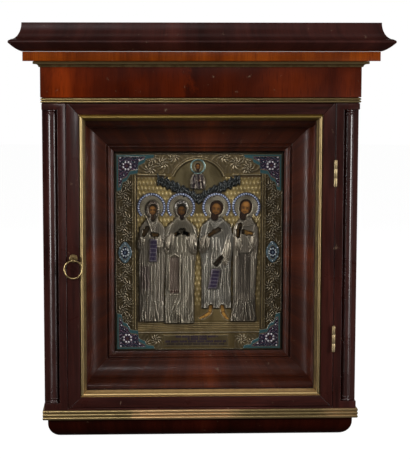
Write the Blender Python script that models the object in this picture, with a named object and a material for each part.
"""Glazed wooden case with an icon under an embossed metal cover.

Metres, +Z up. X runs across the front, -Y is the front, the origin is at the middle
of the bounding box's base. The case stands on its rounded base. The door turns about
the barrels at its right edge and a ring pull hangs in an eye at its left edge.
"""
import math

import bmesh
import bpy
from mathutils import Matrix, Vector
from mathutils.geometry import delaunay_2d_cdt

# Sizes.
GAP = 0.0003            # clearance between pieces that touch

BODY_D = 0.130          # case depth, front of the posts to the back
SIDE_T = 0.018          # side board thickness
STILE_T = 0.018         # post, rail and frieze thickness

BASE_H = 0.0308         # rounded base height
BASE_INSET = 0.0050     # base face behind the post face
BASE_ROUND = 0.0255     # how far the rounding runs under
BASE_W = 0.0450         # base moulding width, outer face to inner
BASE_FLOOR = 0.0040     # base board's underside above the ground
RAIL_H = 0.0187         # rail under the door
POST_W = 0.0365         # width of the case front beside the door
DOOR_T = 0.020
DOOR_GAP = 0.0010       # gap round the door
ASTRAGAL_H = 0.0086     # two-reed strip under the frieze
FRIEZE_H = 0.0465       # frieze seen between strip and bed moulding
FRIEZE_PROUD = 0.0015   # frieze face in front of the post face
BED_H = 0.0092          # brass bed moulding
BED_OUT = 0.0100        # its projection from the frieze
FASCIA_H = 0.0146       # crossbanded board
FASCIA_OUT = 0.0262     # its projection from the post face
CROWN_H = 0.0433        # cornice height
CROWN_OUT = 0.0465      # cornice tip's projection from the post face
CROWN_W = 0.0750        # cornice moulding width
STRIP_H = 0.0157        # three-reed strip at the foot
STRIP_T = 0.0027        # its thickness
ASTRAGAL_T = 0.0036     # thickness of the strip under the frieze
BACK_T = 0.008          # back board

NOTCH_W = 0.0240        # corner notch across the front
NOTCH_D = 0.0120        # corner notch depth
STOP_TOP = 0.0100       # solid block left above the notch
STOP_FOOT = 0.0270      # solid block left below the notch
COLUMN_R = 0.0072       # column shaft radius
COLUMN_RING = 0.0010    # how far its rings stand out
COLUMN_IN = 0.0155      # column axis from the side face
COLUMN_BACK = 0.0087    # column axis behind the post face
COLUMN_SIDES = 20

DOOR_STILE = 0.0190     # door frame width at the sides
DOOR_RAIL = 0.0165      # door frame width at top and bottom
SLIP_W = 0.0096         # brass glazing moulding width
GLASS_T = 0.0030
SHOWN_SIDE = 0.0434     # inner frame seen beside the icon, up to the brass
SHOWN_TOP = 0.0509      # inner frame seen over and under it
LIP_W = 0.0098          # wooden lip behind the glass
LIP_T = 0.0065          # its thickness

FRAME_Y = 0.0219        # front of the inner frame behind the post face
FRAME_FLAT_T = 0.0080   # its flat outer part
FRAME_LAP = 0.0110      # how far the flat part runs behind the frieze and rail
FRAME_W = 0.0495        # moulded width round the icon
ICON_W = 0.268
ICON_H = 0.318
ICON_T = 0.024          # wooden panel thickness
ICON_PLAY = 0.0015      # play round the icon
ICON_FACE = 0.0660      # cover's flat front behind the post face
COVER_T = 0.0015        # cover's metal

HINGE_LEN = 0.040
HINGE_SPREAD = 0.130    # hinge centres above and below the door's middle
BARREL_R = 0.0026
BARREL_OUT = 0.0030     # barrel axis in front of the door's face
PIN_R = 0.0011
PIN_PLAY = 0.0004       # clearance round the pin
LEAF_T = 0.0013
LEAF_W = 0.0150         # leaf depth into the gap
KNUCKLE_SHARE = 0.36    # middle knuckle's share of the hinge

PULL_R = 0.0066         # rosette radius
PULL_T = 0.0020
EYE_W = 0.0032          # eye thickness across
EYE_OUT = 0.0098        # eye's reach in front of the door
RING_R = 0.0139         # ring's centre line radius
WIRE_R = 0.00130        # ring's wire radius
RING_PLAY = 0.0006      # clearance of the wire in the eye
RING_DROP = 0.0028      # wire's centre below the rosette's centre
RING_OUT = 0.0066       # wire's centre in front of the door

ENAMEL_T = 0.0016       # enamel plaque thickness
CORNER_W = 0.0605       # enamel corner, across
CORNER_H = 0.0590       # enamel corner, up
CORNER_IN = 0.0025      # its distance from the cover's edge
ROSETTE_R = 0.0080
HALO_APART = 0.0007     # gap between the two closest halos
HALO_W = 0.0040         # halo's band
MEDAL_W = 0.0215        # side medallion width
MEDAL_H = 0.0345        # side medallion height
MEDAL_IN = 0.0160       # side medallion's centre from the cover's edge

# Derived places.
OPEN_W = ICON_W + 2 * ICON_PLAY
OPEN_H = ICON_H + 2 * ICON_PLAY
DOOR_W = OPEN_W + 2 * (SHOWN_SIDE + SLIP_W + DOOR_STILE)
DOOR_H = OPEN_H + 2 * (SHOWN_TOP + SLIP_W + DOOR_RAIL)
BODY_W = DOOR_W + 2 * (DOOR_GAP + POST_W)
DEPTH_ALL = BODY_D + CROWN_OUT
FRONT = -DEPTH_ALL / 2 + CROWN_OUT      # world y of the post face
BACK = FRONT + BODY_D
HALF = BODY_W / 2
Z_BODY = BASE_H
Z_RAIL_TOP = Z_BODY + RAIL_H
Z_DOOR = Z_RAIL_TOP + DOOR_GAP
Z_DOOR_TOP = Z_DOOR + DOOR_H
Z_FRIEZE = Z_DOOR_TOP + DOOR_GAP
Z_BED = Z_FRIEZE + ASTRAGAL_H + FRIEZE_H
Z_FASCIA = Z_BED + BED_H
Z_CROWN = Z_FASCIA + FASCIA_H
Z_TOP = Z_CROWN + CROWN_H
Z_MID = Z_DOOR + DOOR_H / 2
COVER_BACK = ICON_FACE + COVER_T
BOARD_FACE = COVER_BACK + GAP
BOARD_BACK = BOARD_FACE + ICON_T
ICON_Z = Z_MID - ICON_PLAY + GAP
FRAME_OUT = (BODY_W / 2 - SIDE_T - GAP) - OPEN_W / 2
FRAME_RISE = DOOR_H / 2 + DOOR_GAP + FRAME_LAP - OPEN_H / 2
SIGHT_W = DOOR_W / 2 - DOOR_STILE - SLIP_W
SIGHT_H = DOOR_H / 2 - DOOR_RAIL - SLIP_W
AXIS_X = DOOR_W / 2 + DOOR_GAP / 2
AXIS_Y = FRONT - BARREL_OUT
PULL_X = -DOOR_W / 2 + DOOR_STILE / 2
PULL_Z = Z_MID - 0.001
EYE_Z = PULL_Z - RING_DROP
RING_Y = FRONT - RING_OUT

for old in list(bpy.data.objects):
    bpy.data.objects.remove(old, do_unlink=True)


# Helpers.
def make_material(name, colour, metallic, roughness, see_through=0.0):
    material = bpy.data.materials.new(name)
    material.use_nodes = True
    shader = material.node_tree.nodes["Principled BSDF"]
    shader.inputs["Base Color"].default_value = (*colour, 1.0)
    shader.inputs["Metallic"].default_value = metallic
    shader.inputs["Roughness"].default_value = roughness
    shader.inputs["Transmission Weight"].default_value = see_through
    material.diffuse_color = (*colour, 1.0)
    return material


MAHOGANY = ("mahogany", (0.060, 0.022, 0.014), 0.0, 0.30)
FLAME = ("flame_veneer", (0.150, 0.045, 0.018), 0.0, 0.30)
BANDING = ("crossbanding", (0.300, 0.110, 0.020), 0.0, 0.35)
BRASS = ("brass", (0.420, 0.320, 0.150), 1.0, 0.32)
PINE = ("pine", (0.300, 0.190, 0.090), 0.0, 0.70)
GILT = ("silver_gilt", (0.450, 0.400, 0.280), 1.0, 0.30)
ENAMEL = ("enamel", (0.070, 0.170, 0.190), 0.0, 0.20)
PAINT = ("icon_paint", (0.280, 0.130, 0.050), 0.0, 0.50)
CLEAR = ("clear_glass", (0.900, 0.920, 0.910), 0.0, 0.02, 1.0)


def finish(name, work, look, smooth=False):
    """Turn a bmesh into a named object with its own material."""
    bmesh.ops.remove_doubles(work, verts=work.verts, dist=1e-7)
    bmesh.ops.recalc_face_normals(work, faces=work.faces)
    mesh = bpy.data.meshes.new(name)
    work.to_mesh(mesh)
    work.free()
    if smooth:
        mesh.shade_smooth()
        mesh.set_sharp_from_angle(angle=math.radians(35))
    piece = bpy.data.objects.new(name, mesh)
    bpy.context.scene.collection.objects.link(piece)
    piece.data.materials.append(make_material(name + "_" + look[0], *look[1:]))
    return piece


def add_box(work, low, high):
    corners = [Vector((x, y, z)) for x in (low[0], high[0])
               for y in (low[1], high[1]) for z in (low[2], high[2])]
    verts = [work.verts.new(c) for c in corners]
    for quad in ((0, 1, 3, 2), (4, 6, 7, 5), (0, 4, 5, 1),
                 (2, 3, 7, 6), (0, 2, 6, 4), (1, 5, 7, 3)):
        work.faces.new([verts[i] for i in quad])


def box(name, low, high, look):
    work = bmesh.new()
    add_box(work, low, high)
    return finish(name, work, look)


def add_sweep(work, section, place_start, place_end):
    """Join a closed section at two ends. place_start and place_end give the point."""
    first = [work.verts.new(place_start(a, b)) for a, b in section]
    last = [work.verts.new(place_end(a, b)) for a, b in section]
    count = len(section)
    for i in range(count):
        j = (i + 1) % count
        work.faces.new((first[i], first[j], last[j], last[i]))
    work.faces.new(first)
    work.faces.new(list(reversed(last)))


def upright(name, outline, y0, y1, look):
    """Extrude an outline of (x, z) points from y0 to y1."""
    work = bmesh.new()
    add_sweep(work, outline, lambda x, z: Vector((x, y0, z)), lambda x, z: Vector((x, y1, z)))
    return finish(name, work, look)


def around_case(stem, section, look, smooth=False):
    """Front and two returns of a moulding, mitred at the front corners.

    section holds (out, z): out is measured outward from the post and side faces.
    Consecutive pieces keep GAP between their mitres.
    """
    shift = GAP / math.sqrt(2)
    work = bmesh.new()
    add_sweep(work, section,
              lambda a, z: Vector((-HALF - a + shift, FRONT - a, z)),
              lambda a, z: Vector((HALF + a - shift, FRONT - a, z)))
    made = [finish(stem + "_front", work, look, smooth)]
    for side, tag in ((-1, "_left"), (1, "_right")):
        work = bmesh.new()
        add_sweep(work, section,
                  lambda a, z, s=side: Vector((s * (HALF + a), FRONT - a + shift, z)),
                  lambda a, z, s=side: Vector((s * (HALF + a), BACK, z)))
        made.append(finish(stem + tag, work, look, smooth))
    return made


def picture_frame(stem, section, half_w, half_h, look, smooth=False, sides=None):
    """Four mitred members about the door's middle.

    section holds (out, y): out is measured outward from the opening's edge and y
    backward from the post face. sides is the upright members' own section, where it
    reaches a different distance out.
    """
    sides = sides or section
    rise = max(a for a, y in section)
    out = max(a for a, y in sides)
    shift = GAP / math.sqrt(2)
    for sign, tag in ((1, "_top"), (-1, "_bottom")):
        work = bmesh.new()
        add_sweep(work, section,
                  lambda a, y, s=sign: Vector((-half_w - min(a, out) + shift, FRONT + y,
                                               Z_MID + s * (half_h + a))),
                  lambda a, y, s=sign: Vector((half_w + min(a, out) - shift, FRONT + y,
                                               Z_MID + s * (half_h + a))))
        finish(stem + tag, work, look, smooth)
    for sign, tag in ((-1, "_left"), (1, "_right")):
        work = bmesh.new()
        add_sweep(work, sides,
                  lambda a, y, s=sign: Vector((s * (half_w + a), FRONT + y,
                                               Z_MID - half_h - min(a, rise) + shift)),
                  lambda a, y, s=sign: Vector((s * (half_w + a), FRONT + y,
                                               Z_MID + half_h + min(a, rise) - shift)))
        finish(stem + tag, work, look, smooth)


def add_turned(work, profile, sides, to_world):
    """Revolve (radius, height) points; ends with radius 0 close on the axis."""
    rings = []
    for radius, height in profile:
        if radius == 0.0:
            rings.append([work.verts.new(to_world @ Vector((0, 0, height)))])
            continue
        ring = []
        for k in range(sides):
            angle = 2 * math.pi * k / sides
            ring.append(work.verts.new(to_world @ Vector(
                (radius * math.cos(angle), radius * math.sin(angle), height))))
        rings.append(ring)
    for low, high in zip(rings, rings[1:]):
        for k in range(sides):
            j = (k + 1) % sides
            if len(low) == 1:
                work.faces.new((low[0], high[j], high[k]))
            elif len(high) == 1:
                work.faces.new((low[k], low[j], high[0]))
            else:
                work.faces.new((low[k], low[j], high[j], high[k]))


def combine(piece, other, operation):
    """Apply a Boolean of other to piece and remove other."""
    modifier = piece.modifiers.new("cut", "BOOLEAN")
    modifier.operation = operation
    modifier.solver = "EXACT"
    modifier.object = other
    bpy.context.view_layer.update()
    evaluated = piece.evaluated_get(bpy.context.evaluated_depsgraph_get())
    mesh = bpy.data.meshes.new_from_object(evaluated)
    piece.modifiers.clear()
    piece.data = mesh
    bpy.data.objects.remove(other, do_unlink=True)
    return piece


def arc(centre, radii, start, end, steps):
    """Points on an ellipse arc, angles in degrees, both ends included."""
    points = []
    for i in range(steps + 1):
        angle = math.radians(start + (end - start) * i / steps)
        points.append((centre[0] + radii[0] * math.cos(angle),
                       centre[1] + radii[1] * math.sin(angle)))
    return points


def reeds(count, height, thick, fillet):
    """Outer points of a reeded strip, bottom to top, as (out, z)."""
    points = [(thick * 0.45, 0.0)]
    pitch = (height - 2 * fillet) / count
    for k in range(count):
        middle = fillet + pitch * (k + 0.5)
        for x, y in arc((0.0, 0.0), (pitch * 0.46, thick * 0.55), 180, 0, 5):
            points.append((thick * 0.45 + y, middle + x))
    points.append((thick * 0.45, height))
    return points


# Carcass.
INNER = HALF - SIDE_T
for side, tag in ((-1, "left"), (1, "right")):
    groove = HALF - (ASTRAGAL_T - FRIEZE_PROUD) + 0.0002
    outline = [(side * INNER, Z_BODY + GAP),
               (side * HALF, Z_BODY + GAP),
               (side * HALF, Z_FRIEZE),
               (side * groove, Z_FRIEZE),
               (side * groove, Z_FRIEZE + ASTRAGAL_H + GAP),
               (side * (HALF + FRIEZE_PROUD), Z_FRIEZE + ASTRAGAL_H + GAP),
               (side * (HALF + FRIEZE_PROUD), Z_FASCIA - GAP),
               (side * INNER, Z_FASCIA - GAP)]
    upright("case_side_" + tag, outline, FRONT + STILE_T + GAP, BACK, MAHOGANY)

for side, tag in ((-1, "left"), (1, "right")):
    inner = HALF - POST_W
    xs = sorted((side * inner, side * HALF))
    stile = box("face_stile_" + tag, (xs[0], FRONT, Z_BODY + GAP),
                (xs[1], FRONT + STILE_T, Z_FRIEZE - GAP), MAHOGANY)
    work = bmesh.new()
    xs = sorted((side * (HALF - NOTCH_W), side * (HALF + 0.01)))
    add_box(work, (xs[0], FRONT - 0.01, Z_BODY + STOP_FOOT),
            (xs[1], FRONT + NOTCH_D, Z_FRIEZE - STOP_TOP))
    if side > 0:
        for up in (-1, 1):
            middle = Z_MID + up * HINGE_SPREAD
            add_box(work, (inner - 0.01, FRONT - 0.01, middle - HINGE_LEN / 2 - GAP),
                    (AXIS_X + BARREL_R * 0.27 + LEAF_T + GAP, FRONT + LEAF_W + GAP,
                     middle + HINGE_LEN / 2 + GAP))
    combine(stile, finish("cutter", work, MAHOGANY), "DIFFERENCE")

box("bottom_rail", (-HALF + POST_W + GAP, FRONT, Z_BODY + GAP),
    (HALF - POST_W - GAP, FRONT + STILE_T, Z_RAIL_TOP), MAHOGANY)

face = FRONT - FRIEZE_PROUD
rebate = face + ASTRAGAL_T + GAP
work = bmesh.new()
add_sweep(work,
          [(rebate, Z_FRIEZE), (rebate, Z_FRIEZE + ASTRAGAL_H + GAP),
           (face, Z_FRIEZE + ASTRAGAL_H + GAP), (face, Z_FASCIA - GAP),
           (FRONT + STILE_T, Z_FASCIA - GAP), (FRONT + STILE_T, Z_FRIEZE)],
          lambda y, z: Vector((-HALF - FRIEZE_PROUD, y, z)),
          lambda y, z: Vector((HALF + FRIEZE_PROUD, y, z)))
frieze = finish("frieze_board", work, FLAME)
work = bmesh.new()
for side in (-1, 1):
    xs = sorted((side * (HALF + 0.01), side * (HALF - (ASTRAGAL_T - FRIEZE_PROUD) + 0.0002)))
    add_box(work, (xs[0], face - 0.01, Z_FRIEZE - 0.01),
            (xs[1], FRONT + STILE_T + 0.01, Z_FRIEZE + ASTRAGAL_H + GAP))
combine(frieze, finish("cutter", work, FLAME), "DIFFERENCE")

box("cornice_board", (-HALF - FASCIA_OUT, FRONT - FASCIA_OUT, Z_FASCIA),
    (HALF + FASCIA_OUT, BACK, Z_CROWN - GAP), BANDING)
box("back_board", (-INNER + GAP, FRONT + BOARD_BACK + GAP, Z_BODY + GAP),
    (INNER - GAP, FRONT + BOARD_BACK + GAP + BACK_T, Z_FASCIA - GAP), PINE)

# Base.
rounding = arc((-BASE_INSET - BASE_ROUND, BASE_ROUND), (BASE_ROUND, BASE_ROUND), 0, -90, 7)
section = [(-BASE_INSET - BASE_W, 0.0), (-BASE_INSET - BASE_W, BASE_H),
           (-BASE_INSET, BASE_H)] + rounding
around_case("base_moulding", section, MAHOGANY, True)
edge = HALF - BASE_INSET - BASE_W - GAP
box("base_board", (-edge, FRONT + BASE_INSET + BASE_W + GAP, BASE_FLOOR),
    (edge, BACK, BASE_H), MAHOGANY)

# Brass strips.
section = [(GAP, Z_BODY + GAP)]
section += [(GAP + a, Z_BODY + GAP + z) for a, z in reeds(3, STRIP_H, STRIP_T, 0.0008)]
section += [(GAP, Z_BODY + GAP + STRIP_H)]
around_case("strip", section, BRASS)

inner = -(ASTRAGAL_T - FRIEZE_PROUD)
section = [(inner + 2 * GAP, Z_FRIEZE + GAP)]
section += [(inner + a, Z_FRIEZE + GAP + z)
            for a, z in reeds(2, ASTRAGAL_H - 2 * GAP, ASTRAGAL_T, 0.0006)]
section += [(inner + 2 * GAP, Z_FRIEZE + ASTRAGAL_H - GAP)]
around_case("astragal", section, BRASS)

out = FRIEZE_PROUD + GAP
section = [(out, Z_BED), (out + BED_OUT * 0.16, Z_BED)]
section += arc((out + BED_OUT * 0.62, Z_BED + BED_H * 0.05), (BED_OUT * 0.42, BED_H * 0.42),
               165, 95, 4)
section += [(out + BED_OUT, Z_BED + BED_H * 0.52), (out + BED_OUT, Z_BED + BED_H - GAP),
            (out, Z_BED + BED_H - GAP)]
around_case("bed", section, BRASS)

# Cornice.
reach = CROWN_OUT
tip = CROWN_H * 0.30
section = [(reach - CROWN_W, Z_CROWN)]
for k in range(7):
    share = k / 6
    section.append((FASCIA_OUT + (reach - FASCIA_OUT) * share, Z_CROWN + tip * share ** 1.5))
section += [(reach - 0.0008, Z_CROWN + CROWN_H * 0.325), (reach - 0.0030, Z_CROWN + CROWN_H * 0.40)]
section += arc((reach - 0.0038, Z_TOP), (0.0157, CROWN_H * 0.58), -94, -178, 8)
section += [(reach - 0.0195, Z_TOP), (reach - CROWN_W, Z_TOP)]
around_case("crown", section, MAHOGANY, True)
edge = HALF + reach - CROWN_W - GAP
box("crown_cap", (-edge, FRONT - reach + CROWN_W + GAP, Z_CROWN), (edge, BACK, Z_TOP), MAHOGANY)

# Columns.
Z_FOOT = Z_BODY + STOP_FOOT + GAP
Z_HEAD = Z_FRIEZE - STOP_TOP - GAP
for side, tag in ((-1, "left"), (1, "right")):
    big = COLUMN_R + COLUMN_RING
    ends = [(0.0, 0.0), (big, 0.0), (big, 0.0022), (COLUMN_R - 0.0008, 0.0034),
            (COLUMN_R - 0.0008, 0.0052), (big, 0.0062), (big, 0.0076), (COLUMN_R, 0.0088)]
    profile = [(r, Z_FOOT + z) for r, z in ends]
    profile += [(r, Z_HEAD - z) for r, z in reversed(ends)]
    work = bmesh.new()
    add_turned(work, profile, COLUMN_SIDES,
               Matrix.Translation((side * (HALF - COLUMN_IN), FRONT + COLUMN_BACK, 0)))
    column = finish("column_" + tag, work, MAHOGANY, True)
    work = bmesh.new()
    add_box(work, (-HALF - 0.05, FRONT + NOTCH_D - GAP, Z_FOOT - 0.01),
            (HALF + 0.05, FRONT + 0.05, Z_HEAD + 0.01))
    combine(column, finish("cutter", work, MAHOGANY), "DIFFERENCE")

# Inner frame.
moulded = [(0.0, BOARD_BACK), (0.0, ICON_FACE - 0.0020), (0.0058, ICON_FACE - 0.0058)]
moulded += arc((0.0080, ICON_FACE - 0.0062), (0.0019, 0.0024), 200, 340, 4)
moulded += [(0.0108, ICON_FACE - 0.0062), (0.0125, ICON_FACE - 0.0075),
            (0.0125, ICON_FACE - 0.0100)]
cove_top = FRAME_Y + 0.0195
moulded += arc((0.0125, cove_top - 0.0005), (0.0260, ICON_FACE - 0.0100 - cove_top + 0.0005),
               80, 8, 6)
moulded += arc((FRAME_W - 0.001, cove_top), (FRAME_W - 0.0395, cove_top - FRAME_Y - 0.0004),
               180, 268, 8)
moulded += [(FRAME_W, FRAME_Y)]
behind = [(FRAME_W - 0.007, FRAME_Y + FRAME_FLAT_T), (FRAME_W - 0.007, FRAME_Y + 0.0250),
          (0.0180, BOARD_BACK - 0.0220), (0.0180, BOARD_BACK)]


def frame_section(far, meet):
    """Frame section out to far, with a corner at meet, where the other members end."""
    flat = [(meet, FRAME_Y)] if meet < far else []
    flat += [(far, FRAME_Y), (far, FRAME_Y + FRAME_FLAT_T)]
    flat += [(meet, FRAME_Y + FRAME_FLAT_T)] if meet < far else []
    return moulded + flat + behind


picture_frame("inner_frame", frame_section(FRAME_RISE, FRAME_OUT), OPEN_W / 2, OPEN_H / 2,
              MAHOGANY, True, frame_section(FRAME_OUT, FRAME_RISE))

# Door.
bottom, top = -DOOR_H / 2, DOOR_H / 2
kink = DOOR_STILE - DOOR_RAIL
edge = DOOR_W / 2
for side, tag in ((-1, "left"), (1, "right")):
    outline = [(side * edge, Z_MID + bottom), (side * (edge - kink), Z_MID + bottom),
               (side * (edge - DOOR_STILE), Z_MID + bottom + DOOR_RAIL),
               (side * (edge - DOOR_STILE), Z_MID + top - DOOR_RAIL),
               (side * (edge - kink), Z_MID + top), (side * edge, Z_MID + top)]
    stile = upright("door_stile_" + tag, outline, FRONT, FRONT + DOOR_T, MAHOGANY)
    far = SIGHT_W + SLIP_W - LIP_W
    outline = [(side * (edge - 0.002), Z_MID + bottom + DOOR_RAIL - 0.004 + GAP * 2),
               (side * (edge - DOOR_STILE), Z_MID + bottom + DOOR_RAIL + GAP),
               (side * far, Z_MID + bottom + DOOR_RAIL + LIP_W + GAP),
               (side * far, Z_MID + top - DOOR_RAIL - LIP_W - GAP),
               (side * (edge - DOOR_STILE), Z_MID + top - DOOR_RAIL - GAP),
               (side * (edge - 0.002), Z_MID + top - DOOR_RAIL + 0.004 - GAP * 2)]
    lip = upright("lip", outline, FRONT + DOOR_T - LIP_T, FRONT + DOOR_T, MAHOGANY)
    combine(stile, lip, "UNION")
    if side > 0:
        work = bmesh.new()
        for up in (-1, 1):
            middle = Z_MID + up * HINGE_SPREAD
            add_box(work, (AXIS_X - BARREL_R * 0.27 - LEAF_T - GAP, FRONT - 0.01,
                           middle - HINGE_LEN / 2 - GAP),
                    (edge + 0.01, FRONT + LEAF_W + GAP, middle + HINGE_LEN / 2 + GAP))
        combine(stile, finish("cutter", work, MAHOGANY), "DIFFERENCE")

slack = GAP * math.sqrt(2)
for sign, tag in ((1, "top"), (-1, "bottom")):
    far = edge - kink - slack
    near = edge - DOOR_STILE - slack
    outline = [(-far, Z_MID + sign * top), (far, Z_MID + sign * top),
               (near, Z_MID + sign * (top - DOOR_RAIL)),
               (-near, Z_MID + sign * (top - DOOR_RAIL))]
    rail = upright("door_rail_" + tag, outline, FRONT, FRONT + DOOR_T, MAHOGANY)
    short = near - LIP_W
    outline = [(-near, Z_MID + sign * (top - DOOR_RAIL)),
               (-near - 0.004, Z_MID + sign * (top - DOOR_RAIL + 0.004)),
               (near + 0.004, Z_MID + sign * (top - DOOR_RAIL + 0.004)),
               (near, Z_MID + sign * (top - DOOR_RAIL)),
               (short, Z_MID + sign * (top - DOOR_RAIL - LIP_W)),
               (-short, Z_MID + sign * (top - DOOR_RAIL - LIP_W))]
    lip = upright("lip", outline, FRONT + DOOR_T - LIP_T, FRONT + DOOR_T, MAHOGANY)
    combine(rail, lip, "UNION")

glass_back = DOOR_T - LIP_T - GAP
box("glass", (-SIGHT_W - SLIP_W + 0.001, FRONT + glass_back - GLASS_T,
              Z_MID - SIGHT_H - SLIP_W + 0.001),
    (SIGHT_W + SLIP_W - 0.001, FRONT + glass_back, Z_MID + SIGHT_H + SLIP_W - 0.001), CLEAR)

slip_back = glass_back - GLASS_T - GAP
wide = SLIP_W - GAP
section = [(0.0, slip_back), (0.0, slip_back - 0.0012), (wide * 0.30, slip_back - 0.0052)]
section += arc((wide * 0.62, 0.0016), (wide * 0.26, 0.0028), 200, 340, 5)
section += [(wide * 0.90, 0.0022), (wide, 0.0012), (wide, slip_back)]
picture_frame("slip", section, SIGHT_W, SIGHT_H, BRASS, True)


# Hinges.
for up, tag in ((1, "upper"), (-1, "lower")):
    middle = Z_MID + up * HINGE_SPREAD
    half = HINGE_LEN / 2
    knuckle = half * KNUCKLE_SHARE
    profile = [(0.0, -half - 0.0016), (0.0014, -half - 0.0010), (BARREL_R, -half),
               (BARREL_R, -knuckle - GAP), (PIN_R, -knuckle - GAP),
               (PIN_R, knuckle + GAP), (BARREL_R, knuckle + GAP), (BARREL_R, half),
               (0.0014, half + 0.0010), (0.0, half + 0.0016)]
    work = bmesh.new()
    add_turned(work, profile, 12, Matrix.Translation((AXIS_X, AXIS_Y, middle)))
    leaf = finish("hinge_case_" + tag, work, BRASS, True)
    near = AXIS_X + BARREL_R * 0.27
    work = bmesh.new()
    for a, b in ((-half, -knuckle - GAP), (knuckle + GAP, half)):
        add_box(work, (near, AXIS_Y + BARREL_R * 0.62, middle + a),
                (near + LEAF_T, FRONT + 0.0012, middle + b))
    combine(leaf, finish("tab", work, BRASS), "UNION")
    work = bmesh.new()
    add_box(work, (near, FRONT + 0.0006, middle - half), (near + LEAF_T, FRONT + LEAF_W, middle + half))
    combine(leaf, finish("plate", work, BRASS), "UNION")

    hole = PIN_R + PIN_PLAY
    work = bmesh.new()
    add_turned(work, [(hole, -knuckle), (BARREL_R, -knuckle), (BARREL_R, knuckle),
                      (hole, knuckle), (hole, -knuckle)], 12,
               Matrix.Translation((AXIS_X, AXIS_Y, middle)))
    leaf = finish("hinge_door_" + tag, work, BRASS, True)
    near = AXIS_X - BARREL_R * 0.27
    work = bmesh.new()
    add_box(work, (near - LEAF_T, AXIS_Y + BARREL_R * 0.72, middle - knuckle),
            (near, FRONT + 0.0012, middle + knuckle))
    combine(leaf, finish("tab", work, BRASS), "UNION")
    work = bmesh.new()
    add_box(work, (near - LEAF_T, FRONT + 0.0006, middle - half), (near, FRONT + LEAF_W, middle + half))
    combine(leaf, finish("plate", work, BRASS), "UNION")

# Ring pull.
outward = Matrix.Translation((PULL_X, FRONT - GAP, PULL_Z)) @ Matrix.Rotation(math.pi / 2, 4, "X")
work = bmesh.new()
add_turned(work, [(0.0, 0.0), (PULL_R, 0.0), (PULL_R, PULL_T * 0.5), (PULL_R * 0.86, PULL_T),
                  (PULL_R * 0.55, PULL_T * 1.1), (0.0, PULL_T * 1.5)], 20, outward)
boss = finish("pull_boss", work, BRASS, True)
work = bmesh.new()
outline = [(FRONT - GAP - PULL_T * 0.5, EYE_Z - 0.0034), (FRONT - GAP - PULL_T * 0.5, EYE_Z + 0.0050)]
outline += arc((FRONT - EYE_OUT + 0.0032, EYE_Z), (0.0036, 0.0034), 90, 270, 8)
add_sweep(work, outline, lambda y, z: Vector((PULL_X - EYE_W / 2, y, z)),
          lambda y, z: Vector((PULL_X + EYE_W / 2, y, z)))
combine(boss, finish("eye", work, BRASS), "UNION")
work = bmesh.new()
add_turned(work, [(0.0, -0.006), (WIRE_R + RING_PLAY, -0.006), (WIRE_R + RING_PLAY, 0.006),
                  (0.0, 0.006)], 12,
           Matrix.Translation((PULL_X, RING_Y, EYE_Z)) @ Matrix.Rotation(math.pi / 2, 4, "Y"))
combine(boss, finish("bore", work, BRASS), "DIFFERENCE")

work = bmesh.new()
rings = []
for i in range(28):
    turn = 2 * math.pi * i / 28
    ring = []
    for j in range(8):
        roll = 2 * math.pi * j / 8
        radius = RING_R + WIRE_R * math.cos(roll)
        ring.append(work.verts.new((radius * math.sin(turn), WIRE_R * math.sin(roll),
                                    radius * math.cos(turn) - RING_R)))
    rings.append(ring)
for i in range(28):
    for j in range(8):
        k = (j + 1) % 8
        n = rings[(i + 1) % 28]
        work.faces.new((rings[i][j], rings[i][k], n[k], n[j]))
ring_pull = finish("ring_pull", work, BRASS, True)
ring_pull.location = (PULL_X, RING_Y, EYE_Z)

# Icon.
box("icon_board", (-ICON_W / 2, FRONT + BOARD_FACE, ICON_Z - ICON_H / 2),
    (ICON_W / 2, FRONT + BOARD_BACK, ICON_Z + ICON_H / 2), PAINT)

MM = 0.001
# The carving is laid out on a grid of 265 steps across and 314 up, which follows the
# icon's width and height.
HALF_X = 132.5
HALF_Z = 157.0
U = ICON_W / (2 * HALF_X)
V = ICON_H / (2 * HALF_Z)

# Figures: centre x at hem and neck, hem z, neck z, half widths at seven even heights
# from hem to neck, folds, hooded. Steps of the layout from the cover's middle.
FIGURES = (
    (-76.0, -76.0, -111.0, 57.0, (21.5, 20.0, 20.0, 21.0, 22.0, 19.5, 8.5), 5, True),
    (-30.0, -28.5, -114.0, 57.0, (23.5, 22.0, 21.5, 24.0, 26.0, 20.5, 8.5), 6, True),
    (28.0, 27.0, -90.0, 57.0, (22.5, 21.5, 22.0, 25.0, 26.5, 20.5, 8.0), 6, False),
    (72.0, 74.0, -111.0, 57.0, (21.5, 18.0, 16.5, 18.5, 20.5, 18.5, 8.5), 5, False),
)
# Sleeves: x, z, half length, half height, tilt, height over the flat.
SLEEVES = (
    (-63.5, 14.0, 7.0, 17.0, 6.0, 6.4), (-91.0, 16.0, 6.0, 15.0, -6.0, 5.6),
    (-46.0, 14.0, 8.5, 19.0, -10.0, 6.6), (-11.5, 14.0, 8.5, 19.0, 10.0, 6.6),
    (9.0, 14.0, 9.0, 17.0, -16.0, 6.6), (43.0, 0.0, 7.5, 24.0, -8.0, 6.4),
    (63.0, 14.0, 6.5, 16.0, 8.0, 6.2), (84.0, 14.0, 6.5, 16.0, -8.0, 6.2),
)
HEADS = ((-75.0, 69.0), (-28.5, 69.0), (27.5, 70.0), (74.5, 70.5))
FACE_HOODED = (5.8, 9.0)
FACE_BARE = (8.8, 11.8)
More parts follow.
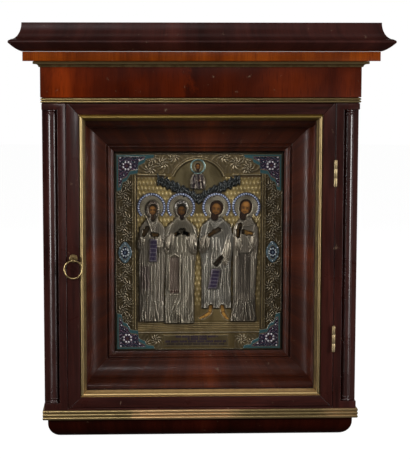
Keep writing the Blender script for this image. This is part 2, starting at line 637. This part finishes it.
# Openings for hands and feet: x, z, half length, half height, tilt in degrees.
HANDS = ((-85.0, 31.0, 6.0, 3.4, 60.0), (-71.5, 28.0, 4.6, 3.2, 10.0),
         (-32.0, 33.5, 5.6, 3.4, -25.0), (-19.0, 33.5, 5.6, 3.4, 25.0),
         (22.5, 31.5, 8.0, 3.0, 28.0), (29.5, -20.0, 5.2, 3.6, 55.0),
         (63.5, 37.5, 5.8, 3.4, 70.0), (77.5, 31.5, 6.4, 3.4, -18.0),
         (11.0, -97.5, 7.2, 3.4, 42.0), (37.5, -98.5, 7.2, 3.4, -58.0))
SMALL_HEAD = (-2.0, 135.0, 3.6, 4.8, 0.0)
ARCH = (-1.0, 105.0, 44.5)
HALO_Z = 71.8
HALO_R = (HEADS[1][0] - HEADS[0][0]) * U / 2 - HALO_APART / 2
MEDAL_X = ICON_W / 2 - MEDAL_IN


def smooth(value):
    value = max(0.0, min(1.0, value))
    return value * value * (3 - 2 * value)


def half_width(widths, t):
    """Width at height share t through even steps, hem to neck."""
    last = len(widths) - 1
    place = max(0.0, min(0.9999, t)) * last
    k = int(place)
    return widths[k] + (widths[k + 1] - widths[k]) * smooth(place - k)


def openings():
    """Every opening as x, z, half length, half height, tilt."""
    found = []
    for figure, head in zip(FIGURES, HEADS):
        size = FACE_HOODED if figure[6] else FACE_BARE
        found.append((head[0], head[1], size[0], size[1], 0.0))
    found.extend(HANDS)
    found.append(SMALL_HEAD)
    return found


def opening_reach(hole, x, z):
    """0 at the middle of an opening, 1 on its edge."""
    tilt = math.radians(hole[4])
    dx, dz = x - hole[0], z - hole[1]
    a = (dx * math.cos(tilt) + dz * math.sin(tilt)) / hole[2]
    b = (dz * math.cos(tilt) - dx * math.sin(tilt)) / hole[3]
    return math.hypot(a, b)


def ellipse(hole, grow, count):
    tilt = math.radians(hole[4])
    points = []
    for k in range(count):
        angle = 2 * math.pi * (k + 0.5) / count
        a = (hole[2] + grow) * math.cos(angle)
        b = (hole[3] + grow) * math.sin(angle)
        points.append((hole[0] + a * math.cos(tilt) - b * math.sin(tilt),
                       hole[1] + a * math.sin(tilt) + b * math.cos(tilt)))
    return points


def robe_height(figure, x, z):
    """Height of a robe over the cover's flat, in millimetres."""
    hem, neck = figure[2], figure[3]
    t = (z - hem) / (neck - hem)
    if t <= -1e-6 or t >= 1 + 1e-6:
        return 0.0
    wide = half_width(figure[4], t)
    middle = figure[0] + (figure[1] - figure[0]) * t
    u = (x - middle) / wide
    if abs(u) >= 0.9999:
        return 0.0
    edge = smooth((1 - abs(u)) * wide / 1.6) * smooth((z - hem) / 1.6) * smooth((neck - z) / 3.0)
    depth = 1.6 + 3.4 * math.sqrt(max(0.0, 1 - u * u))
    fold = 1.0 * math.cos(math.pi * figure[5] * u) * smooth(1.3 - 1.4 * t)
    return edge * (depth + fold)


def relief(x, z):
    """Height of the embossed cover over its flat, in millimetres."""
    height = 0.0
    for figure, head in zip(FIGURES, HEADS):
        height = max(height, robe_height(figure, x, z))
        if figure[6]:
            r = math.hypot((x - head[0]) / 10.8, (z - head[1] + 1.5) / 13.6)
            if r < 1:
                height = max(height, 3.4 * math.sqrt(1 - r * r) + 0.4)
    for sleeve in SLEEVES:
        r = opening_reach(sleeve, x, z)
        if r < 0.99:
            height = max(height, 1.4 + (sleeve[5] - 1.4) * math.sqrt(1 - r * r))
    for hole in openings():
        size = 0.5 * (hole[2] + hole[3])
        height *= smooth(((opening_reach(hole, x, z) - 1) * size + 0.6) / 3.2)
    return height


def seat(x, z, grow):
    """True where an enamel corner, medallion or halo sits, grown by grow millimetres."""
    grow *= MM
    across = (ICON_W / 2 - CORNER_IN - abs(x) * U) / (CORNER_W + grow)
    up = (ICON_H / 2 - CORNER_IN - abs(z) * V) / (CORNER_H + grow)
    if across + up < 1.12:
        return True
    if math.hypot((abs(x) * U - MEDAL_X) / (MEDAL_W / 2 + grow), z * V / (MEDAL_H / 2 + grow)) < 1:
        return True
    return any(math.hypot((x - head[0]) * U, (z - HALO_Z) * V) < HALO_R + grow for head in HEADS)


class Sheet:
    """Points and edges on the cover's layout, with set heights in millimetres."""

    def __init__(self):
        self.points = []
        self.edges = []
        self.fixed = {}

    def add(self, x, z, height=None):
        self.points.append((x, z))
        if height is not None:
            self.fixed[len(self.points) - 1] = height
        return len(self.points) - 1

    def line(self, points, heights=None, closed=True):
        ids = []
        for k, (x, z) in enumerate(points):
            level = heights[k % len(heights)] if heights else None
            ids.append(self.add(x, z, level))
        for a, b in zip(ids, ids[1:]):
            self.edges.append((a, b))
        if closed:
            self.edges.append((ids[-1], ids[0]))
        return ids

    def dome(self, x, z, long, short, tilt, height, sides=6):
        foot = ellipse((x, z, long, short, tilt), 0.0, sides)
        if not any(seat(a, b, 0.5) for a, b in foot):
            self.line(foot, [0.0])
            self.add(x, z, height)


sheet = Sheet()
rim = sheet.line([(-HALF_X, -HALF_Z), (HALF_X, -HALF_Z), (HALF_X, HALF_Z), (-HALF_X, HALF_Z)], [0.0])
holes = openings()
hole_edges = [ellipse(hole, 0.0, 12 if hole[3] > 5 else 8) for hole in holes]
for hole_edge in hole_edges:
    sheet.line(hole_edge, [0.0])

ROWS = 10
for figure in FIGURES:
    hem, neck, steps = figure[2], figure[3], figure[5]

    def robe_point(u, z, inset=0.0):
        t = (z - hem) / (neck - hem)
        middle = figure[0] + (figure[1] - figure[0]) * t
        return (middle + u * (half_width(figure[4], t) - inset), z)

    levels = [hem + (neck - hem) * k / ROWS for k in range(ROWS + 1)]
    for inset, low, high in ((0.0, hem, neck), (1.6, hem + 1.6, neck - 3.0)):
        heights = [min(max(z, low), high) for z in levels]
        foot = [robe_point(j / steps, low, inset) for j in range(1 - steps, steps)]
        sheet.line([robe_point(-1.0, z, inset) for z in reversed(heights)] + foot
                   + [robe_point(1.0, z, inset) for z in heights])
    for j in range(1 - steps, steps):
        run = []
        for z in [hem + 1.6] + levels[1:-1]:
            x = robe_point(j / steps, z)[0]
            if all((opening_reach(h, x, z) - 1) * min(h[2], h[3]) > 3.6 for h in holes):
                run.append((x, z))
            elif len(run) > 1:
                sheet.line(run, None, False)
                run = []
        if len(run) > 1:
            sheet.line(run, None, False)

for hole in HANDS[:8]:
    sheet.line(ellipse(hole, 1.6, 10))
    sheet.line(ellipse(hole, 3.4, 10))

for sleeve in SLEEVES:
    sheet.line(ellipse(sleeve, 0.0, 12))
    sheet.line(ellipse(sleeve, -2.2, 10))
    sheet.add(sleeve[0], sleeve[1])

for figure, head in zip(FIGURES, HEADS):
    if figure[6]:
        sheet.line(ellipse((head[0], head[1] - 1.5, 10.8, 13.6, 0.0), 0.0, 16), [0.0])
        sheet.line(ellipse((head[0], head[1] - 1.5, 10.8, 13.6, 0.0), -1.3, 16))

# Flat seats for the halos.
for head in HEADS:
    ring = HALO_R + 0.6 * MM
    sheet.line(arc((head[0], HALO_Z), (ring / U, ring / V), -42, 222, 11), [0.0], False)

# Upright ribs beside the figures, the rib under the top border and the floor line.
rib_end = HALF_Z - (CORNER_IN + CORNER_H * 0.70) / V
for side in (-1, 1):
    sheet.line([(side * 99.2, -rib_end), (side * 103.0, -rib_end), (side * 103.0, rib_end),
                (side * 99.2, rib_end)], [0.0])
    sheet.line([(side * 101.1, 1.5 - rib_end), (side * 101.1, rib_end - 1.5)], [1.6], False)
floor_end = HALF_X - (CORNER_IN + CORNER_W * 0.62) / U
sheet.line([(-floor_end, -130.0), (floor_end, -130.0), (floor_end, -126.5),
            (-floor_end, -126.5)], [0.0])
sheet.line([(1.5 - floor_end, -128.2), (floor_end - 1.5, -128.2)], [1.4], False)

# Arch over the half figure.
outer = arc(ARCH[:2], (ARCH[2], ARCH[2]), 22, 158, 16)
inner = arc(ARCH[:2], (ARCH[2] - 3.6, ARCH[2] - 3.6), 22, 158, 16)
crest = arc(ARCH[:2], (ARCH[2] - 1.8, ARCH[2] - 1.8), 24, 156, 14)
sheet.line(outer + inner[::-1], [0.0])
sheet.line(crest, [1.7], False)

# Cloud band: a chevron of lobes under the arch.
upper, lower, ridge = [], [], []
for k in range(23):
    t = k / 22
    x = -66.0 + 131.0 * t
    drop = 31.0 * (1 - abs(2 * t - 1)) ** 1.15
    foot = 110.0 - drop - (0.0 if k % 2 else 1.4)
    while seat(x, foot, 1.2):
        foot += 0.4
    upper.append((x, 120.5 - drop + (1.2 if k % 2 else 0.0)))
    lower.append((x, foot))
    ridge.append((x, (120.5 - drop + foot) / 2))
sheet.line(upper + lower[::-1], [0.0])
sheet.line(ridge, [3.2, 1.4], False)
for k in range(1, 22):
    sheet.line([upper[k], ridge[k], lower[k]], [0.0, 1.4 if k % 2 else 3.2, 0.0], False)

# Half figure in the arch.
bust = [(-14.0, 101.5), (-13.0, 115.0), (-9.5, 124.0), (-5.0, 127.5), (1.5, 127.5),
        (6.0, 124.0), (9.5, 115.0), (10.5, 101.5)]
sheet.line(bust, [0.0])
for x, z, level in ((-9.0, 106.0, 2.0), (-4.5, 108.0, 2.9), (0.0, 106.0, 2.2), (5.5, 108.0, 2.6),
                    (-7.0, 117.0, 2.2), (-2.0, 119.0, 3.0), (3.5, 117.0, 2.4)):
    sheet.add(x, z, level)

# Scrolling foliage in the side borders, over the top and beside the inscription.
for side in (-1, 1):
    for part in (-1, 1):
        for k in range(6):
            z = part * (27.0 + 10.6 * k)
            turn = 1 if k % 2 else -1
            sheet.dome(side * (116.5 + 4.2 * turn), z, 6.6, 4.2, 35.0 * turn * side, 2.2)
    for k in range(3):
        sheet.dome(side * (56.0 + 9.5 * k), 141.5 - 7.0 * k, 6.0, 4.0, 25.0 * side, 2.0)
    sheet.dome(side * 68.5, -140.5, 8.0, 7.0, 0.0, 1.8)
sheet.line([(-56.5, -151.0), (47.5, -151.0), (47.5, -132.5), (-56.5, -132.5)], [0.0])
sheet.line([(-55.0, -149.5), (46.0, -149.5), (46.0, -134.0), (-55.0, -134.0)], [0.5])

# Scrolls held by the first and third figures.
for pts in ([(-80.5, -17.0), (-66.0, -17.0), (-66.0, 21.0), (-80.5, 21.0)],
            [(10.5, -56.5), (22.5, -59.5), (33.0, -29.5), (21.0, -26.5)]):
    sheet.line(pts)
    cx = sum(p[0] for p in pts) / 4
    cz = sum(p[1] for p in pts) / 4
    sheet.line([(cx + (x - cx) * 0.88, cz + (z - cz) * 0.96) for x, z in pts], [6.6])

coords = [Vector(p) for p in sheet.points]
flat, _, triangles, origin, _, _ = delaunay_2d_cdt(coords, sheet.edges, [], 0, 1e-5)
levels = []
for place, sources in zip(flat, origin):
    level = None
    for source in sources:
        if source in sheet.fixed:
            level = max(level or 0.0, sheet.fixed[source])
    levels.append(relief(place.x, place.y) if level is None else level)


def cover_point(x, z, height):
    return Vector((x * U, FRONT + ICON_FACE - height * MM, ICON_Z + z * V))


def inside(outline, x, z):
    """Even-odd test of a point against a closed outline."""
    found = False
    for (x0, z0), (x1, z1) in zip(outline, outline[1:] + outline[:1]):
        if (z0 > z) != (z1 > z) and x < x0 + (z - z0) * (x1 - x0) / (z1 - z0):
            found = not found
    return found


def in_hole(tri, places):
    cx = sum(places[i].x for i in tri) / 3
    cz = sum(places[i].y for i in tri) / 3
    return any(inside(hole_edge, cx, cz) for hole_edge in hole_edges)


work = bmesh.new()
front = [work.verts.new(cover_point(p.x, p.y, h)) for p, h in zip(flat, levels)]
kept = [tri for tri in triangles if not in_hole(tri, flat)]
for tri in kept:
    work.faces.new([front[i] for i in tri])
edge_count = {}
for tri in kept:
    for a, b in zip(tri, tri[1:] + tri[:1]):
        edge_count[(min(a, b), max(a, b))] = edge_count.get((min(a, b), max(a, b)), 0) + 1
border = [pair for pair, uses in edge_count.items() if uses == 1]
used = sorted({i for pair in border for i in pair})
number = {i: k for k, i in enumerate(used)}
behind = [work.verts.new(Vector((flat[i].x * U, FRONT + COVER_BACK, ICON_Z + flat[i].y * V)))
          for i in used]
for a, b in border:
    work.faces.new((front[a], front[b], behind[number[b]], behind[number[a]]))
rear = delaunay_2d_cdt([flat[i] for i in used], [(number[a], number[b]) for a, b in border],
                       [], 0, 1e-5)
for tri in rear[2]:
    if not in_hole(tri, rear[0]):
        work.faces.new([behind[rear[3][i][0]] for i in tri])
for vert in [v for v in work.verts if not v.link_faces]:
    work.verts.remove(vert)
finish("oklad", work, GILT)

# Enamel.
FACE_Y = FRONT + ICON_FACE - GAP


def add_plaque(work, outline, y0, y1):
    add_sweep(work, outline, lambda x, z: Vector((x, y0, z)), lambda x, z: Vector((x, y1, z)))


for sx, sz, tag in ((-1, 1, "tl"), (1, 1, "tr"), (-1, -1, "bl"), (1, -1, "br")):
    x0 = sx * (ICON_W / 2 - CORNER_IN)
    z0 = ICON_Z + sz * (ICON_H / 2 - CORNER_IN)
    w, h = CORNER_W, CORNER_H
    shape = [(0.0, 0.0), (1.0, 0.0), (0.97, 0.10), (0.78, 0.13), (0.74, 0.23), (0.58, 0.31),
             (0.56, 0.52), (0.36, 0.55), (0.27, 0.72), (0.17, 0.76), (0.12, 0.97), (0.0, 1.0)]
    outline = [(x0 - sx * w * a, z0 - sz * h * b) for a, b in shape]
    work = bmesh.new()
    add_plaque(work, outline, FACE_Y, FACE_Y - ENAMEL_T)
    plaque = finish("corner_" + tag, work, ENAMEL)
    work = bmesh.new()
    centre = (x0 - sx * w * 0.275, FACE_Y - ENAMEL_T + 0.0004, z0 - sz * h * 0.30)
    add_turned(work, [(0.0, 0.0), (ROSETTE_R, 0.0), (ROSETTE_R * 0.85, 0.0012),
                      (ROSETTE_R * 0.45, 0.0010), (0.0, 0.0016)], 16,
               Matrix.Translation(centre) @ Matrix.Rotation(math.pi / 2, 4, "X"))
    combine(plaque, finish("rosette", work, ENAMEL), "UNION")

for side, tag in ((-1, "left"), (1, "right")):
    outline = []
    for k in range(24):
        angle = 2 * math.pi * k / 24
        lobe = 1 + 0.05 * math.cos(4 * angle)
        outline.append((side * MEDAL_X + MEDAL_W / 2 * lobe * math.cos(angle) * 0.95,
                        ICON_Z + MEDAL_H / 2 * lobe * math.sin(angle) * 0.95))
    work = bmesh.new()
    add_plaque(work, outline, FACE_Y, FACE_Y - ENAMEL_T)
    plaque = finish("medallion_" + tag, work, ENAMEL)
    work = bmesh.new()
    add_turned(work, [(0.0, 0.0), (ROSETTE_R * 0.95, 0.0), (ROSETTE_R * 0.8, 0.0012),
                      (ROSETTE_R * 0.45, 0.0010), (0.0, 0.0016)], 16,
               Matrix.Translation((side * MEDAL_X, FACE_Y - ENAMEL_T + 0.0004, ICON_Z))
               @ Matrix.Rotation(math.pi / 2, 4, "X"))
    combine(plaque, finish("rosette", work, ENAMEL), "UNION")

for k, head in enumerate(HEADS):
    cx = head[0] * U
    cz = ICON_Z + HALO_Z * V
    outline = [(cx + x, cz + z) for x, z in arc((0, 0), (HALO_R, HALO_R), -42, 222, 20)]
    inner = HALO_R - HALO_W
    outline += [(cx + x, cz + z) for x, z in arc((0, 0), (inner, inner), 222, -42, 20)]
    work = bmesh.new()
    add_plaque(work, outline, FACE_Y, FACE_Y - ENAMEL_T)
    finish("halo_%d" % (k + 1), work, ENAMEL)

# Moving pieces.
def pivot(name, place, children):
    empty = bpy.data.objects.new(name, None)
    empty.location = place
    bpy.context.scene.collection.objects.link(empty)
    bpy.context.view_layer.update()
    for child in children:
        piece = bpy.data.objects[child]
        piece.parent = empty
        piece.matrix_parent_inverse = empty.matrix_world.inverted()


pivot("door_pivot", (AXIS_X, AXIS_Y, Z_MID),
      ["door_stile_left", "door_stile_right", "door_rail_top", "door_rail_bottom", "glass",
       "slip_left", "slip_right", "slip_top", "slip_bottom", "pull_boss",
       "hinge_door_upper", "hinge_door_lower", "ring_pull"])
